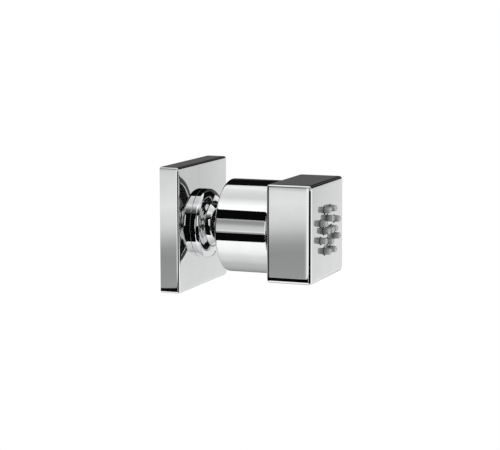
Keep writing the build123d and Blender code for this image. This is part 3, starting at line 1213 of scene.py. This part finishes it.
@dataclass(frozen=True)
class Studio:
    """White surroundings, a pale floor, soft light and the cards that draw the chrome's bands."""

    centre: tuple[float, float, float] = (0.0, -0.043, 0.0)
    ambient: float = 0.75
    floor_drop: float = 0.9
    floor_radius: float = 2.0
    floor_tone: float = 0.85
    floor_sides: int = 96
    lamps: Sequence[Lamp] = (
        Lamp("upper_lamp", place=(-0.9, -0.9, 1.2), size=0.9, power=12.0),
        Lamp("lower_lamp", place=(-0.9, -0.6, -0.8), size=0.8, power=12.0),
    )
    cards: Sequence[Card] = (
        Card(
            "side_panel",
            azimuth=(-135.0, -103.0),
            elevation=(-11.2, 20.0),
            tones=(
                *((-11.0, 0.36), (-9.5, 0.33), (-9.0, 0.37), (-8.5, 0.5), (-8.1, 0.65), (-7.6, 0.78)),
                *((-6.6, 0.9), (-4.0, 0.7), (1.0, 0.68), (5.5, 0.58), (10.0, 0.37), (15.0, 0.31)),
                (19.5, 0.45),
            ),
            fades=(Fade(-117.0, -127.0, 0.03), Fade(-107.5, -104.0, 1.0)),
        ),
        Card("upper_flag", (-140.0, -93.0), (20.0, 40.5)),
        Card("lower_flag", (-140.0, -93.0), (-29.5, -11.2)),
        Card("camera_flag", (-87.0, -15.0), (-53.0, 42.0), distance=0.7),
        Card("camera_window", (-64.0, -39.0), (-3.0, 27.0), tones=((0.0, 1.0),), distance=0.65),
        Card(
            "camera_flag_top",
            azimuth=(-85.0, -35.0),
            elevation=(36.0, 58.0),
            tones=((42.0, 0.1), (46.0, 0.2), (51.0, 0.5), (58.0, 1.0)),
            distance=0.75,
        ),
        Card("back_flag", (-180.0, -130.0), (-40.0, 40.0)),
        Card("front_flag", (20.0, 100.0), (1.5, 70.0), fades=(Fade(71.0, 77.0, 0.09),)),
        Card("front_table", (35.0, 88.0), (-65.0, -22.0), tones=((-40.0, 0.85),), distance=0.6),
        Card(
            "overhead_panel",
            azimuth=(-140.0, -40.0),
            elevation=(41.0, 126.0),
            tones=(
                *((42.0, 1.3), (56.0, 1.22), (63.0, 1.08), (70.0, 0.93), (76.0, 0.78), (86.0, 0.79)),
                *((98.0, 0.85), (108.0, 0.97), (114.0, 1.05), (122.0, 0.85)),
            ),
        ),
        Card(
            "underside_panel",
            azimuth=(-140.0, -40.0),
            elevation=(-162.0, -30.0),
            tones=(
                *((-160.0, 0.2), (-146.0, 0.3), (-128.0, 0.45), (-112.0, 0.55), (-100.0, 0.58)),
                *((-91.0, 0.7), (-83.0, 0.77), (-76.0, 0.8), (-69.0, 0.89), (-63.0, 1.01)),
                *((-52.0, 1.11), (-40.0, 1.15)),
            ),
            distance=0.75,
        ),
        Card(
            "far_flag",
            azimuth=(78.0, 150.0),
            elevation=(-13.0, 52.0),
            tones=((-12.0, 0.06), (-4.0, 0.09), (8.0, 0.11), (14.0, 0.08), (20.0, 0.005)),
        ),
        Card(
            "front_panel",
            azimuth=(55.0, 77.5),
            elevation=(-22.0, 1.5),
            tones=((-12.0, 0.8), (-10.0, 0.76), (-6.0, 0.64), (1.0, 0.66)),
            fades=(Fade(68.3, 71.5, 0.88),),
        ),
    )

    def build(self) -> None:
        """Set up the surroundings, the floor, the lamps and the cards."""
        self.surroundings()
        self.floor()
        for thing in (*self.lamps, *self.cards):
            thing.build(Vector(self.centre))
            LOG.info("placed %s", thing.name)

    def surroundings(self) -> None:
        """White world as the camera and the chrome see it, softer where it lights the object."""
        world = bpy.data.worlds.new("white_surroundings")
        world.use_nodes = True
        shader = Shader(world.node_tree)
        seen = shader.rays("Is Camera Ray", "Is Glossy Ray", "Is Transmission Ray")
        soft = shader.node("ShaderNodeBackground", None, {"Color": (1, 1, 1, 1), "Strength": self.ambient})
        white = shader.node("ShaderNodeBackground", None, {"Color": (1, 1, 1, 1), "Strength": 1.0})
        mixed = shader.node("ShaderNodeMixShader", None, {0: seen, 1: soft.outputs[0], 2: white.outputs[0]})
        shader.node("ShaderNodeOutputWorld", None, {"Surface": mixed.outputs[0]})
        bpy.context.scene.world = world

    def floor(self) -> None:
        """Pale round floor below, which keeps the object's shadow."""
        Bench.clear()
        x, y, z = self.centre
        place = (x, y, z - self.floor_drop)
        bpy.ops.mesh.primitive_circle_add(
            vertices=self.floor_sides, radius=self.floor_radius, fill_type="NGON", location=place
        )
        floor = Bench.adopt("floor")
        material = bpy.data.materials.new("pale_floor")
        material.use_nodes = True
        shader = Shader(material.node_tree)
        seen = shader.rays("Is Glossy Ray", "Is Transmission Ray")
        matt = shader.node("ShaderNodeBsdfDiffuse", None, {"Color": (*grey(self.floor_tone), 1)})
        white = shader.node("ShaderNodeEmission", None, {"Color": (1, 1, 1, 1), "Strength": 1.0})
        mixed = shader.node("ShaderNodeMixShader", None, {0: seen, 1: matt.outputs[0], 2: white.outputs[0]})
        shader.node("ShaderNodeOutputMaterial", None, {"Surface": mixed.outputs[0]})
        floor.data.materials.append(material)


@dataclass(frozen=True)
class PhotoCamera:
    """Camera at the photograph's viewing angle, in the photograph's pixels."""

    azimuth: float = -69.093
    elevation: float = 8.105
    roll: float = -0.073
    distance: float = 875.05 * MM
    target: tuple[float, float, float] = (0.0, -43.33 * MM, 0.0)
    target_pixel: Point = (261.902, 226.064)
    image_pixels: tuple[int, int] = (500, 450)
    focal_pixels: float = 1681.75
    sensor_width: float = 36.0

    def build(self) -> None:
        """Make the camera the scene's own."""
        outward = toward(self.azimuth, self.elevation)
        bpy.ops.object.camera_add(location=Vector(self.target) + outward * self.distance)
        camera = bpy.context.active_object
        camera.name = "photo_camera"
        camera.rotation_mode = "QUATERNION"
        roll = Quaternion(outward, math.radians(self.roll))
        camera.rotation_quaternion = roll @ (-outward).to_track_quat("-Z", "Y")
        width, height = self.image_pixels
        camera.data.sensor_width = self.sensor_width
        camera.data.lens = self.focal_pixels * self.sensor_width / width
        camera.data.shift_x = (width / 2 - self.target_pixel[0]) / width
        camera.data.shift_y = (self.target_pixel[1] - height / 2) / width
        bpy.context.scene.camera = camera
        bpy.context.scene.view_settings.view_transform = "Standard"


def main() -> None:
    """Build the sub-assemblies, the studio and the camera."""
    logging.basicConfig(level=logging.INFO, format="%(message)s")
    Bench.clear()
    palette = Palette()
    WallMount(palette).build()
    Stem(palette).build()
    SprayHead(palette).build()
    Studio().build()
    PhotoCamera().build()


if __name__ == "__main__":
    main()
